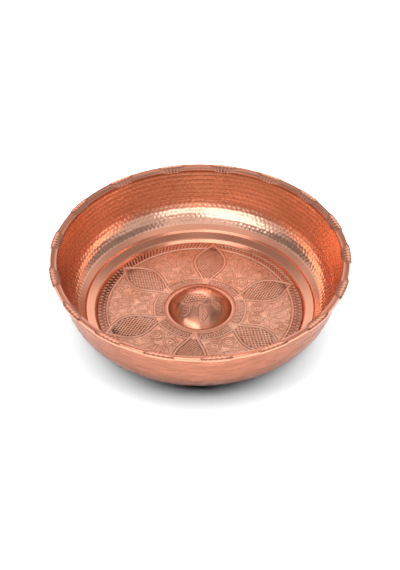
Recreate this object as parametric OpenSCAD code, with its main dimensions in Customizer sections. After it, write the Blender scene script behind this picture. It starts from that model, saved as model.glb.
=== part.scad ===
// Hammam bowl in beaten copper: a raised bowl with a stepped floor, a scalloped
// rim band with fluted panels, a chased floor disc with six petals, and a domed
// boss whose hollow takes a fingertip from below.
// Millimetres, +Z up, origin at the middle of the flat base.

/* [Bowl] */
// Diameter across the fluted rim panels
bowl_d = 200; // [170:1:260]
// Height from the base to the highest edge of the rim
bowl_h = 49; // [40:0.5:70]
// Thickness of the copper sheet
sheet = 1; // [0.6:0.1:1.4]
// Lean of the upper wall from the vertical, in degrees
wall_lean = 11; // [6:1:18]
// Inside radius of the bend between floor and wall
bend_r = 30; // [22:1:36]
// Slope of the bend where it leaves the floor, in degrees
bend_slope = 41; // [32:1:50]

/* [Steps round the floor] */
// Run of the step beside the floor disc
step_run = 1.5; // [0.8:0.1:3]
// Rise of the step beside the floor disc
step_rise = 2.9; // [1.8:0.1:4]
// Width of the polished band above the step
band_w = 5.9; // [3:0.1:9]
// Rise of the polished band
band_rise = 1.3; // [0.4:0.1:2.5]
// Run of the upper step
upper_step_run = 0.8; // [0.4:0.1:2]
// Rise of the upper step
upper_step_rise = 1.6; // [0.8:0.1:2.5]
// Width of the plain cove below the hammered wall
cove_w = 3.2; // [2:0.1:6]
// Rise of the plain cove
cove_rise = 2.2; // [1.2:0.1:4]
// Radius of the raised edges of both steps
edge_round = 1.5; // [1.4:0.1:2]
// Radius at the foot of the upper step
foot_round = 0.5; // [0.3:0.1:0.8]

/* [Rim band] */
// Width of the rim outside the mouth of the bowl
rim_w = 5.8; // [4.5:0.1:8]
// Width of the lip that the rim band is soldered to
lip_w = 3; // [2:0.1:4]
// Number of fluted panels, with a plain panel after each
panels = 17; // [11:1:21]
// Turn of the first fluted panel from the X axis, in degrees
panel_turn = 105.6; // [0:0.1:360]
// Width of a fluted panel, in degrees of the rim
panel_deg = 9.5; // [6:0.1:11]
// How far the hand-set panels drift once round the rim, in degrees
panel_drift = 2.6; // [0:0.1:3]
// How far the hand-set panels drift twice round the rim, in degrees
panel_sway = 1.7; // [0:0.1:2]
// How far a fluted panel hangs over the mouth
panel_hang = 1.2; // [0.4:0.1:2]
// Thickness of the rim at its outer edge
edge_t = 1; // [0.6:0.1:1.4]
// Height of a fluted panel at its inner edge, above the lip
panel_in_h = 0.5; // [0.3:0.1:1]
// Height of a fluted panel at its outer edge, above the lip
panel_out_h = 2; // [1.5:0.1:3]
// Crown of a fluted panel
panel_crown = 1.2; // [0.5:0.1:1.5]
// Flutes across one panel
flutes = 5; // [3:1:7]
// Depth of a flute
flute_depth = 0.5; // [0.2:0.05:0.6]
// Radius of the round punch that sinks a flute
flute_r = 0.8; // [0.6:0.05:1]
// Height of a plain panel at its inner edge, above the lip
plain_in_h = 0.9; // [0.6:0.1:1.4]
// Height of a plain panel at its outer edge, above the lip
plain_out_h = 2.8; // [2.5:0.1:5]
// Dip of the trough along a plain panel
plain_dip = 0.8; // [0.2:0.1:1]
// How far a plain panel stops short of the fluted ones
plain_short = 1.1; // [0.2:0.1:1.5]

/* [Floor disc] */
// Thickness of the floor disc
disc_t = 0.7; // [0.5:0.1:1.2]
// Height of the raised lines on the disc
relief_h = 0.35; // [0.2:0.05:0.6]
// Number of petals
petals = 6; // [4:1:8]
// Turn of the first petal from the X axis, in degrees
petal_turn = 21.7; // [0:0.1:60]
// Half width of a petal at its widest, in degrees of the disc
petal_half = 13.3; // [9:0.1:18]
// How sharply a petal draws in to its neck and tip
petal_ogee = 1.25; // [1:0.05:1.6]
// How far out a petal is widest: 1 is half way, and more is nearer its tip
petal_lean = 1.2; // [0.8:0.05:1.5]
// Width of the raised lines
line_w = 1.3; // [0.8:0.1:2]
// Width of the border outside the raised ring
border_w = 6; // [4:0.1:9]
// Width of the fret band round the boss
fret_w = 6.4; // [4:0.1:9]

/* [Boss] */
// Diameter of the dome
boss_d = 42.8; // [34:0.2:50]
// Height of the dome above the disc
boss_h = 12; // [8:0.5:16]
// Width of the plain collar round the dome
collar_w = 3.2; // [2:0.1:5]

/* [Fits] */
// Thickness of the flat ring under the rim panels
seat_t = 0.4; // [0.3:0.05:0.5]
// How far that ring is set back from the mouth, as a solder line
seat_back = 0.4; // [0.2:0.1:0.8]
// Gap between the floor disc and what it lies inside or around
disc_gap = 0.1; // [0.05:0.05:0.3]
// How far a plain panel laps into the fluted panels beside it, in degrees
panel_lap = 0.2; // [0.1:0.05:0.4]

/* [Hidden] */
$fn = 96;
bend_steps = 16;
round_steps = 6;
bow_steps = 8;
petal_steps = 24;
over = 1;
copper_wall = [0.78, 0.44, 0.31];
copper_rim = [0.70, 0.40, 0.30];
copper_floor = [0.82, 0.55, 0.44];
copper_boss = [0.74, 0.42, 0.31];

// Heights, from the base up
floor_z = sheet;
disc_z = floor_z + disc_t;
bend_z = floor_z + step_rise + band_rise + upper_step_rise + cove_rise;
lip_z = bowl_h - plain_out_h;

// Radii of the wall, from the mouth down to the floor
mouth_r = bowl_d / 2 - rim_w;
wall_slope = 90 - wall_lean;
wall_foot_z = bend_z + bend_r * (cos(bend_slope) - cos(wall_slope));
wall_foot_r = mouth_r - (lip_z - wall_foot_z) * tan(wall_lean);
bend_centre = [wall_foot_r - bend_r * sin(wall_slope), bend_z + bend_r * cos(bend_slope)];
cove_r = bend_centre.x + bend_r * sin(bend_slope) - cove_w;
band_r = cove_r - upper_step_run - band_w;
floor_r = band_r - step_run;

// The boss and the disc that lies round its collar
boss_r = boss_d / 2;
dome_r = (boss_r * boss_r + boss_h * boss_h) / (2 * boss_h);
dome_z = disc_z + boss_h - dome_r;
hollow_r = sqrt(pow(dome_r - sheet, 2) - pow(floor_z - dome_z, 2));
collar_r = boss_r + collar_w;
disc_hole_r = collar_r + disc_gap;
disc_r = floor_r - disc_gap;
border_r = disc_r - border_w;
fret_r = collar_r + fret_w;
petal_root_r = boss_r - collar_w;
petal_tip_r = disc_r - line_w / 2;

// The rim band, in its own section above the lip
lip_r = mouth_r + lip_w;
panel_in = [mouth_r - panel_hang, panel_in_h];
panel_out = [bowl_d / 2, panel_out_h];
plain_in = [mouth_r, plain_in_h];
plain_out = [bowl_d / 2 - plain_short, plain_out_h];
panel_foot = seat_t / 2;
plain_foot = seat_t / 3;
panel_pitch = 360 / panels;
plain_from = panel_deg / 2 - panel_lap;
flute_pitch = panel_deg / (flutes + 1);

// A line given a thickness on its right-hand side, with mitred corners
function unit(v) = v / norm(v);
function right_of(v) = [v.y, -v.x];
function heading(line, i) =
    let (k = min(max(i, 0), len(line) - 2))
    unit(line[k + 1] - line[k]);
function mitre(line, i) = right_of(heading(line, i - 1)) + right_of(heading(line, i));
function beside(line, t) =
    [for (i = [0 : len(line) - 1]) let (m = mitre(line, i)) line[i] + 2 * t * m / (m * m)];
function reversed(line) = [for (i = [len(line) - 1 : -1 : 0]) line[i]];

// An arc from p to q that bows upwards by rise, or downwards when rise is negative
function bow_radius(p, q, rise) = (pow(norm(q - p), 2) / 4 + rise * rise) / (2 * abs(rise));
function bow_centre(p, q, rise) =
    (p + q) / 2 - right_of(unit(q - p)) * (rise - sign(rise) * bow_radius(p, q, rise));
function turn_of(v) = atan2(v.y, v.x);
function bow(p, q, rise) =
    let (
        c = bow_centre(p, q, rise),
        r = bow_radius(p, q, rise),
        from = turn_of(p - c),
        to = turn_of(q - c)
    )
    [for (i = [0 : bow_steps]) let (a = from + (to - from) * i / bow_steps) c + r * [cos(a), sin(a)]];

// The corner at b, on the way from a to c, drawn as an arc
function corner_arc(a, b, c, r) =
    let (
        back = unit(a - b),
        ahead = unit(c - b),
        half = acos(back * ahead) / 2,
        centre = b + unit(back + ahead) * r / sin(half),
        from = turn_of(b + back * r / tan(half) - centre),
        to = turn_of(b + ahead * r / tan(half) - centre),
        sweep = (to - from + 540) % 360 - 180
    )
    [for (i = [0 : round_steps])
        let (turn = from + sweep * i / round_steps)
        centre + r * [cos(turn), sin(turn)]];

// Inside of the bowl in half section, from the hollow under the boss to the lip
function bend_line() =
    [for (i = [0 : bend_steps])
        let (a = bend_slope + (wall_slope - bend_slope) * i / bend_steps)
        bend_centre + bend_r * [sin(a), -cos(a)]];
function inside_line() =
    let (
        floor_edge = [floor_r, floor_z],
        band_edge = [band_r, floor_z + step_rise],
        band_foot = [band_r + band_w, floor_z + step_rise + band_rise],
        cove_edge = [cove_r, bend_z - cove_rise],
        bend = bend_line()
    )
    concat(
        [[hollow_r, floor_z], floor_edge],
        corner_arc(floor_edge, band_edge, band_foot, edge_round),
        corner_arc(band_edge, band_foot, cove_edge, foot_round),
        corner_arc(band_foot, cove_edge, bend[0], edge_round),
        bend,
        [[mouth_r, lip_z], [lip_r, lip_z]]
    );

// Raised bowl: flat base, two steps, hammered wall and the lip for the rim band
module bowl_shell() {
    inside = inside_line();
    color(copper_wall)
        rotate_extrude()
            polygon(concat(inside, reversed(beside(inside, sheet))));
}

// Middle of fluted panel k: evenly spaced, but for the drift of the hand that set it
function even_turn(k) = panel_turn + k * panel_pitch;
function panel_middle(k) =
    let (a = even_turn(k))
    a - panel_drift * sin(a) + panel_sway * cos(2 * a);

// A stretch of the rim, from one turn to another, with its half section as the child
module rim_arc(from, to) {
    rotate([0, 0, from])
        rotate_extrude(angle = to - from)
            children();
}

// One flute: a ring on edge, so that its channel follows the crown over both edges
module flute(turn) {
    centre = bow_centre(panel_in, panel_out, panel_crown);
    ring_r = bow_radius(panel_in, panel_out, panel_crown) + flute_r - flute_depth;
    rotate([0, 0, turn])
        translate([centre.x, 0, centre.y])
            rotate([90, 0, 0])
                rotate_extrude($fn = 48)
                    translate([ring_r, 0])
                        circle(r = flute_r, $fn = 24);
}

// Half section of a fluted panel, cut to its crown
module fluted_section() {
    intersection() {
        polygon([
            [panel_in.x, panel_foot],
            [lip_r - seat_back, panel_foot],
            panel_out - [0, edge_t],
            panel_out + [0, panel_crown],
            [panel_in.x, panel_out.y + panel_crown],
        ]);
        translate(bow_centre(panel_in, panel_out, panel_crown))
            circle(r = bow_radius(panel_in, panel_out, panel_crown));
    }
}

module fluted_panel(middle) {
    difference() {
        rim_arc(middle - panel_deg / 2, middle + panel_deg / 2)
            fluted_section();
        for (i = [1 : flutes])
            flute(middle - panel_deg / 2 + i * flute_pitch);
    }
}

// Half section of a plain panel: a trough that rises to a thin outer edge
module plain_section() {
    polygon(concat(
        bow(plain_in, plain_out, -plain_dip),
        [plain_out - [0, edge_t], [lip_r - 2 * seat_back, plain_foot], [plain_in.x, plain_foot]]
    ));
}

// Flat ring under the panels, set back from the mouth to leave a solder line
module seat_ring() {
    rotate_extrude()
        translate([mouth_r + seat_back, 0])
            square([lip_w - seat_back, seat_t]);
}

// Scalloped rim band, soldered to the lip: fluted panels with plain troughs between
module rim_band() {
    color(copper_rim)
        translate([0, 0, lip_z]) {
            seat_ring();
            for (k = [0 : panels - 1]) {
                fluted_panel(panel_middle(k));
                rim_arc(panel_middle(k) + plain_from, panel_middle(k + 1) - plain_from)
                    plain_section();
            }
        }
}

// A petal drawn in to a neck at the collar and to a tip at the edge of the disc
function petal_half_at(share, half) = half * pow(sin(180 * pow(share, petal_lean)), petal_ogee);
function petal_point(share, half, from, to) =
    let (r = from + (to - from) * share, a = petal_half_at(share, half))
    r * [cos(a), sin(a)];
module petal(half, from, to) {
    side = [for (i = [0 : petal_steps]) petal_point(i / petal_steps, half, from, to)];
    other = [for (i = [petal_steps - 1 : -1 : 1]) [side[i].x, -side[i].y]];
    polygon(concat(side, other));
}

// Inside of a petal's raised outline
module petal_field() {
    widest_r = petal_root_r + (petal_tip_r - petal_root_r) * pow(0.5, 1 / petal_lean);
    narrower = line_w / widest_r * 180 / PI;
    petal(petal_half - narrower, petal_root_r + 2 * line_w, petal_tip_r - 2 * line_w);
}

module each_petal() {
    for (k = [0 : petals - 1])
        rotate(petal_turn + k * 360 / petals)
            children();
}

module ring(r) {
    difference() {
        circle(r = r + line_w / 2);
        circle(r = r - line_w / 2);
    }
}

// Raised lines on the disc: petal outlines, with a ring inside and outside them
module raised_lines() {
    difference() {
        union() {
            ring(border_r);
            ring(fret_r);
            each_petal()
                petal(petal_half, petal_root_r, petal_tip_r);
        }
        each_petal()
            petal_field();
    }
}

// Floor disc: lies inside the first step and round the collar of the boss
module floor_disc() {
    color(copper_floor)
        translate([0, 0, floor_z])
            difference() {
                union() {
                    cylinder(r = disc_r, h = disc_t);
                    linear_extrude(height = disc_t + relief_h)
                        raised_lines();
                }
                translate([0, 0, -over])
                    cylinder(r = disc_hole_r, h = disc_t + relief_h + 2 * over);
            }
}

// Boss: a dome on a flat collar, hollow below so that a fingertip fits under it
module centre_boss() {
    color(copper_boss)
        difference() {
            union() {
                translate([0, 0, floor_z])
                    cylinder(r = collar_r, h = disc_t);
                intersection() {
                    translate([0, 0, dome_z])
                        sphere(r = dome_r);
                    translate([0, 0, floor_z])
                        cylinder(r = collar_r, h = disc_t + boss_h + over);
                }
            }
            translate([0, 0, dome_z])
                sphere(r = dome_r - sheet);
        }
}

bowl_shell();
rim_band();
floor_disc();
centre_boss();
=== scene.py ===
# %% [markdown]
# # A hammam bowl in beaten copper
# A tas is the bowl that pours water in a Turkish bath. This one is raised from copper sheet. Its
# wall is hammered inside, its rim is pressed into fluted panels, and its floor is chased round a
# polished boss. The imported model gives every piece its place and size. This lesson gives each
# piece its worked surface, and it works in millimetres until a mesh is made.

import math

import bmesh
import bpy
import numpy as np
from mathutils import Matrix, Vector


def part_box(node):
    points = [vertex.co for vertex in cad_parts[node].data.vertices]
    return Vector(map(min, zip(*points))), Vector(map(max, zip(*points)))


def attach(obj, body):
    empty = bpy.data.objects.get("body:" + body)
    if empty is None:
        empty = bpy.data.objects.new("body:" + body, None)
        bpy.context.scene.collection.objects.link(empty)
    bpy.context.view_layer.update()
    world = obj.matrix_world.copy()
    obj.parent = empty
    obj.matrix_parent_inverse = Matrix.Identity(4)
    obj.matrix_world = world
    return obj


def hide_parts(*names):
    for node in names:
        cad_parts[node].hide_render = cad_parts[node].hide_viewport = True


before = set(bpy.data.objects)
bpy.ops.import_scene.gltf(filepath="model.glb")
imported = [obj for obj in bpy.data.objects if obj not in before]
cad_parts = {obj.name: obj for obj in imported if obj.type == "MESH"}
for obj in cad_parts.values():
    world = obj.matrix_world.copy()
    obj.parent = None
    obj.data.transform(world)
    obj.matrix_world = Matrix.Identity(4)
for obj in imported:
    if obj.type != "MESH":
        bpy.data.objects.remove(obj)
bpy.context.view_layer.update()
MM = 0.001
BODY = "root"
print("nodes in the frame:", sorted(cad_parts))

# %% [markdown]
# ## The camera
# The photograph looks down into the bowl with a long lens. An orbit round one aim point is the
# easiest way to say that: how high the camera stands, how far off, and how long its lens is.

# %% Place the camera
CAMERA_HEIGHT_DEG = 41.35
CAMERA_DISTANCE = 1.142
CAMERA_LENS = 108.0
AIM = Vector((0, 0, 0.0225))


def on_orbit(turn_deg, height_deg, distance):
    """A point round the aim point: turn 0 is the camera's side, 180 is behind the bowl."""
    turn = math.radians(turn_deg)
    height = math.radians(height_deg)
    level = Vector((math.sin(turn), -math.cos(turn), 0)) * math.cos(height)
    return AIM + distance * (level + Vector((0, 0, math.sin(height))))


def add_aimed(name, data, place):
    """Link an object that looks at the aim point."""
    made = bpy.data.objects.new(name, data)
    bpy.context.scene.collection.objects.link(made)
    made.location = place
    made.rotation_euler = (AIM - place).to_track_quat("-Z", "Y").to_euler()
    return made


lens = bpy.data.cameras.new("camera")
lens.lens = CAMERA_LENS
camera = add_aimed("camera", lens, on_orbit(0, CAMERA_HEIGHT_DEG, CAMERA_DISTANCE))
bpy.context.scene.camera = camera
bpy.context.scene.view_settings.view_transform = "Standard"
print("camera stands at", [round(x, 3) for x in camera.location])

# %% [markdown]
# ## Node maths that reads like Python
# Node trees for materials and for Geometry Nodes use the same Math nodes. This small class wraps a
# socket, so that an expression such as `1 - mask` adds the nodes by itself. Every other node comes
# from its one `node` method.


# %% Wrap a socket
class Wire:
    """One socket of a node tree, with Python's operators."""

    def __init__(self, tree, socket=None):
        self.tree = tree
        self.socket = socket

    def node(self, kind, settings=None, values=None, out=0):
        """Add a node: its settings first, then the values or links of its sockets."""
        made = self.tree.nodes.new(kind)
        for name, value in (settings or {}).items():
            setattr(made, name, value)
        for name, value in (values or {}).items():
            if isinstance(value, Wire):
                self.tree.links.new(value.socket, made.inputs[name])
            else:
                made.inputs[name].default_value = value
        return Wire(self.tree, made.outputs[out] if made.outputs else None)

    def maths(self, operation, *values):
        return self.node("ShaderNodeMath", {"operation": operation}, dict(enumerate(values)))

    def sine(self):
        return self.maths("SINE", self)

    def cosine(self):
        return self.maths("COSINE", self)

    def absolute(self):
        return self.maths("ABSOLUTE", self)

    def rounded(self):
        return self.maths("ROUND", self)

    def least(self, other):
        return self.maths("MINIMUM", self, other)

    def most(self, other):
        return self.maths("MAXIMUM", self, other)

    def above(self, other):
        return self.maths("GREATER_THAN", self, other)

    def ramp(self, low, high):
        """0 below low, 1 above high, and a smooth slope between them."""
        slope = {"interpolation_type": "SMOOTHSTEP"}
        return self.node("ShaderNodeMapRange", slope, {"Value": self, "From Min": low, "From Max": high})

    def parts(self):
        """The x, y and z of a vector."""
        split = self.node("ShaderNodeSeparateXYZ", values={0: self}).socket.node
        return [Wire(self.tree, socket) for socket in split.outputs]

    def vector(self, x, y, z):
        return self.node("ShaderNodeCombineXYZ", values={0: x, 1: y, 2: z})


def overload(name, operation):
    """Give Wire one operator and its reflected form."""
    setattr(Wire, f"__{name}__", lambda a, b: a.maths(operation, a, b))
    setattr(Wire, f"__r{name}__", lambda a, b: a.maths(operation, b, a))


OPERATORS = {
    "add": "ADD",
    "sub": "SUBTRACT",
    "mul": "MULTIPLY",
    "truediv": "DIVIDE",
    "pow": "POWER",
    "mod": "FLOORED_MODULO",
}
for name, operation in OPERATORS.items():
    overload(name, operation)
print("Wire knows", len(OPERATORS), "operators")

# %% [markdown]
# ## The lamps
# Copper shows little but what it mirrors, so a lamp is also a shape that the metal shows. Three
# softboxes on the camera's side draw the white band on the far wall and the light on the boss. They
# are hidden from matt surfaces. Two broad suns, to the left and right and a little behind the bowl,
# are hidden from glossy ones instead: they whiten the table and drop a soft shadow under the bowl,
# with no second highlight on the metal.

# %% Hang the lamps
SOFTBOX_DISTANCE = 1.9
# Each softbox has a turn and a height in degrees, a width and a height in metres, and a radiance.
SOFTBOXES = {
    "key_softbox": (-25, 22, 1.6, 0.50, 1.35),
    "crown_softbox": (-33, 35, 1.8, 0.30, 2.0),
    "fill_softbox": (17, 22, 1.0, 0.36, 1.3),
}
# Watts for each square metre of a softbox with a radiance of 1.
POWER_PER_AREA = 4
SUN_TURN_DEG = 103
SUN_HEIGHT_DEG = 53
SUN_DISTANCE = 2
SUN_WIDTH_DEG = 72
SUN_STRENGTH = 5.5


def add_softbox(name, turn_deg, height_deg, width, height, radiance):
    """A flat light that faces the bowl. Its power follows from how bright it should look."""
    light = bpy.data.lights.new(name, "AREA")
    light.shape = "RECTANGLE"
    light.size, light.size_y = width, height
    light.energy = radiance * POWER_PER_AREA * width * height
    made = add_aimed(name, light, on_orbit(turn_deg, height_deg, SOFTBOX_DISTANCE))
    made.visible_camera = False
    made.visible_diffuse = False


def add_table_sun(name, turn_deg):
    """A broad sun that lights only the table."""
    light = bpy.data.lights.new(name, "SUN")
    light.angle = math.radians(SUN_WIDTH_DEG)
    light.energy = SUN_STRENGTH
    light.cycles.use_multiple_importance_sampling = False
    made = add_aimed(name, light, on_orbit(turn_deg, SUN_HEIGHT_DEG, SUN_DISTANCE))
    made.visible_glossy = False


for name, softbox in SOFTBOXES.items():
    add_softbox(name, *softbox)
add_table_sun("left_sun", -SUN_TURN_DEG)
add_table_sun("right_sun", SUN_TURN_DEG)
print("lamps:", [light.name for light in bpy.data.lights])

# %% [markdown]
# ## The room
# The rest of what the copper mirrors is the room, and metal in an even room looks flat. So this one
# is pale and uneven. Its darker front, ceiling and ceiling corners draw the brown arcs on the boss
# and the steps, dark bands run along its sides, faint patches break up what lies between, and a
# bright place behind the bowl is what the flat floor mirrors to the camera. Matt surfaces don't
# see the room, and the camera sees it as plain white beyond the table.

# %% Set out the room
ROOM = 1.27
SKY_SEEN = 1.3

# What each part of the room loses, or the bright place gains, as a share of its light.
FRONT_DIP = 0.10
CEILING_DIP = 0.18
SIDE_DIP = 0.70
CORNER_DIP = 0.65
PATCH_DIP = 0.28
BACK_SIDE_DIP = 0.42
BACK_GLOW = 0.9

# Where the parts lie: turns up from the level in front, or shares of right, back and up.
FRONT_TURN = math.radians(58)
CEILING_TURN = math.radians(97)
CORNER_RIGHT, CORNER_BACK, CORNER_UP = 0.24, 0.45, 0.86
GLOW_BACK, GLOW_UP = 0.75, 0.66
SIDE_LEAN, SIDE_RISE = 0.70, 0.42
PATCH_SCALE = 3.0

# What is lost off the middle of the side bands and of the bright place.
SIDE_LOSS, GLOW_LOSS = 0.72, 0.7

# Between which two values each part fades in or out.
FRONT_EDGE = (0.90, 0.98)
CEILING_EDGE = (0.12, 0.42)
CEILING_FOOT = (0.45, 0.75)
SIDE_START = (0.40, 0.60)
SIDE_END = (0.40, 0.60)
SIDE_EDGE = (0.14, 0.25)
BACK_SIDE_START = (0.28, 0.50)
BACK_SIDE_DEPTH = (0.45, 0.70)
GLOW_EDGE = (0.91, 0.985)
GLOW_WIDTH = (0.10, 0.30)
CORNER_EDGE = (0.95, 0.99)
PATCH_EDGE = (0.42, 0.60)
PATCH_FOOT = (0.1, 0.3)
PATCH_TOP = (0.68, 0.85)
PATCH_BACK = (0.15, 0.45)
print(f"room: {ROOM:.2f} bright, {ROOM * (1 + BACK_GLOW):.2f} behind the bowl")

# %% Light the room


def noise(wire, place, scale, detail=2):
    return wire.node("ShaderNodeTexNoise", values={"Vector": place, "Scale": scale, "Detail": detail})


world = bpy.data.worlds.new("room")
bpy.context.scene.world = world
world.use_nodes = True
world.cycles_visibility.diffuse = False
world.node_tree.nodes.clear()
room = Wire(world.node_tree)
direction = room.node("ShaderNodeTexCoord", out="Generated")
right, back, up = direction.parts()
aside = right.absolute()

front = (up * math.sin(FRONT_TURN) - back * math.cos(FRONT_TURN)).ramp(*FRONT_EDGE)
from_ceiling = (up * math.cos(CEILING_TURN) + back * math.sin(CEILING_TURN)).absolute()
ceiling = (1 - from_ceiling.ramp(*CEILING_EDGE)) * up.ramp(*CEILING_FOOT)
along_side = aside.ramp(*SIDE_START) * (1 - back.ramp(*SIDE_END))
from_side = (up + SIDE_LEAN * back - SIDE_RISE).absolute()
sides = along_side * (1 - SIDE_LOSS * from_side.ramp(*SIDE_EDGE))
back_sides = aside.ramp(*BACK_SIDE_START) * back.ramp(*BACK_SIDE_DEPTH)
behind = (GLOW_BACK * back + GLOW_UP * up).ramp(*GLOW_EDGE)
behind = behind * (1 - GLOW_LOSS * aside.ramp(*GLOW_WIDTH))
corners = (CORNER_RIGHT * aside + CORNER_BACK * back + CORNER_UP * up).ramp(*CORNER_EDGE)
patches = noise(room, direction, PATCH_SCALE, 1).ramp(*PATCH_EDGE) * up.ramp(*PATCH_FOOT)
patches = patches * (1 - up.ramp(*PATCH_TOP)) * (1 - back.ramp(*PATCH_BACK))

glow = ROOM * (1 - FRONT_DIP * front) * (1 - CEILING_DIP * ceiling)
glow = glow * (1 - SIDE_DIP * sides) * (1 - CORNER_DIP * corners) * (1 - PATCH_DIP * patches)
glow = glow * (1 + BACK_GLOW * behind) * (1 - BACK_SIDE_DIP * back_sides)
seen = room.node("ShaderNodeLightPath", out="Is Camera Ray")
sky = room.node("ShaderNodeBackground", values={"Strength": glow.most(SKY_SEEN * seen)})
room.node("ShaderNodeOutputWorld", values={"Surface": sky})
print("room:", len(world.node_tree.nodes), "nodes")

# %% [markdown]
# ## The table
# The bowl stands on a plain white table. One large square is enough for it: its edge lies far
# outside the picture, and its matt white takes the shadow.

# %% Lay the table
TABLE_HALF = 30
PAPER_WHITE = (0.86, 0.86, 0.86, 1)
PAPER_ROUGH = 0.9


def new_material(name):
    """An empty material, and a wire to build its tree with."""
    made = bpy.data.materials.new(name)
    made.use_nodes = True
    made.node_tree.nodes.clear()
    return made, Wire(made.node_tree)


white_table, wire = new_material("white_table")
paper = {"Base Color": PAPER_WHITE, "Roughness": PAPER_ROUGH}
surface = wire.node("ShaderNodeBsdfPrincipled", values=paper)
wire.node("ShaderNodeOutputMaterial", values={"Surface": surface})

table_points = [(-TABLE_HALF, -TABLE_HALF, 0), (TABLE_HALF, -TABLE_HALF, 0)]
table_points += [(TABLE_HALF, TABLE_HALF, 0), (-TABLE_HALF, TABLE_HALF, 0)]
table_mesh = bpy.data.meshes.new("table")
table_mesh.from_pydata(table_points, [], [(0, 1, 2, 3)])
table_mesh.materials.append(white_table)
table = bpy.data.objects.new("table", table_mesh)
bpy.context.scene.collection.objects.link(table)
print("table is", 2 * TABLE_HALF, "m wide")

# %% [markdown]
# ## Copper
# All five finishes are the same metal. What differs is how it was worked: polish, hammer, brush or
# matting punch, and how much dark patina was left. Their tones differ too, as painted light and
# shade: the hammered inside and the chased floor are set lighter, the outside darker. Each finish
# mixes two copper tones, darkens them where the metal is cut, matted or brushed and where shade is
# painted, and feeds a fine bump for the tool marks that are too small to model. Attributes that a
# mesh carries say where its metal is cut and where shade is painted.

# %% Copper tones, and how a finish is closed
COPPER_WARM = (0.740, 0.290, 0.182, 1)
COPPER_PALE = (0.760, 0.345, 0.232, 1)
# Darker outside and lighter hammered and chased tones: painted shade and painted light.
OUTSIDE_WARM = (0.450, 0.160, 0.090, 1)
OUTSIDE_PALE = (0.570, 0.218, 0.132, 1)
HAMMERED_WARM = (1.000, 0.590, 0.395, 1)
HAMMERED_PALE = (0.850, 0.455, 0.335, 1)
CHASED_WARM = (0.985, 0.425, 0.268, 1)
CHASED_PALE = (0.995, 0.550, 0.405, 1)
# The dark that both patina and painted shade mix towards.
PATINA_AND_SHADE = (0.070, 0.026, 0.016, 1)


def new_finish(name):
    """A new material, a wire to build its tree with, and the place on the piece."""
    made, wire = new_material(name)
    return made, wire, wire.node("ShaderNodeTexCoord", out="Object")


def mixed(wire, share, first, second):
    """Blend two colours."""
    sockets = {"Factor": share, 6: first, 7: second}
    return wire.node("ShaderNodeMix", {"data_type": "RGBA"}, sockets, out=2)


def attribute(wire, name):
    return wire.node("ShaderNodeAttribute", {"attribute_name": name}, out="Fac")


def streaks(wire, place, level_scale, up_scale):
    """Tool marks that run round the bowl: a noise that is much finer up than along."""
    x, y, z = place.parts()
    return noise(wire, wire.vector(x * level_scale, y * level_scale, z * up_scale), 1)


def copper(wire, tone, dark, roughness, bump, bump_mm, tones=(COPPER_WARM, COPPER_PALE)):
    """Close a copper finish: tone and dark from 0 to 1, bump from 0 to 1 over bump_mm."""
    colour = mixed(wire, dark, mixed(wire, tone, *tones), PATINA_AND_SHADE)
    relief = {"Height": bump, "Distance": bump_mm * MM}
    normal = wire.node("ShaderNodeBump", values=relief)
    look = {"Base Color": colour, "Metallic": 1, "Roughness": roughness, "Normal": normal}
    surface = wire.node("ShaderNodeBsdfPrincipled", values=look)
    wire.node("ShaderNodeOutputMaterial", values={"Surface": surface})
    print("a copper finish with", len(wire.tree.nodes), "nodes")


# %% Hammered inside, brushed outside
BRUSH_SCALES = (70, 650)
BRUSH_EDGE = (0.32, 0.68)
BRUSH_DARK, BRUSH_ROUGH = 0.28, 0.14
# Painted shade on the inside wall: round the dents, between the rows and under the rim.
WALL_SHADE_DARK = 0.54
# How much paler the low inside wall is: painted sheen.
LOW_SHEEN = 0.7
INSIDE_ROUGH, HIGH_ROUGH, OUTSIDE_ROUGH = 0.17, 0.06, 0.26
WALL_CLOUD, WALL_GRAIN = 35, 900
WALL_GRAIN_SHARE = 0.12
WALL_BUMP = 0.06

hammered_copper, wire, place = new_finish("hammered_copper")
inside = attribute(wire, "inside")
high = attribute(wire, "high")
brush = streaks(wire, place, *BRUSH_SCALES).ramp(*BRUSH_EDGE)
grain = noise(wire, place, WALL_GRAIN)
# The inside wall is paler low down, as painted sheen.
tone = noise(wire, place, WALL_CLOUD) * (1 - LOW_SHEEN * inside) + LOW_SHEEN * (1 - high) * inside
# The inside is darkened by painted shade, the outside by its brush marks.
shade_and_brush = WALL_SHADE_DARK * attribute(wire, "wall_shade") * inside + BRUSH_DARK * brush * (1 - inside)
inside_rough = INSIDE_ROUGH + HIGH_ROUGH * high
rough = inside_rough * inside + (OUTSIDE_ROUGH + BRUSH_ROUGH * brush) * (1 - inside)
marks = brush * (1 - inside) + WALL_GRAIN_SHARE * grain
warm = mixed(wire, inside, OUTSIDE_WARM, HAMMERED_WARM)
pale = mixed(wire, inside, OUTSIDE_PALE, HAMMERED_PALE)
copper(wire, tone, shade_and_brush, rough, marks, WALL_BUMP, (warm, pale))

# %% Polished steps
LATHE_SCALES = (40, 1500)
LATHE_DARK, LATHE_ROUGH = 0.06, 0.10
STEP_DARK, STEP_ROUGH = 0.09, 0.16
STEP_CLOUD = 30
STEP_BUMP = 0.012

polished_steps, wire, place = new_finish("polished_steps")
lathe = streaks(wire, place, *LATHE_SCALES)
tone = noise(wire, place, STEP_CLOUD)
step_dark = STEP_DARK + LATHE_DARK * lathe
step_rough = STEP_ROUGH + LATHE_ROUGH * lathe
copper(wire, tone, step_dark, step_rough, lathe, STEP_BUMP, (COPPER_PALE, CHASED_WARM))

# %% Polished rim
RIM_DARK, RIM_SIDE_SHADE, FLUTE_DARK = 0.10, 0.18, 0.72
RIM_SIDE = (0.05, 0.09)
RIM_ROUGH, RIM_CLOUD_ROUGH = 0.17, 0.10
RIM_CLOUD, RIM_GRAIN = 60, 700
RIM_BUMP = 0.02

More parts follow.
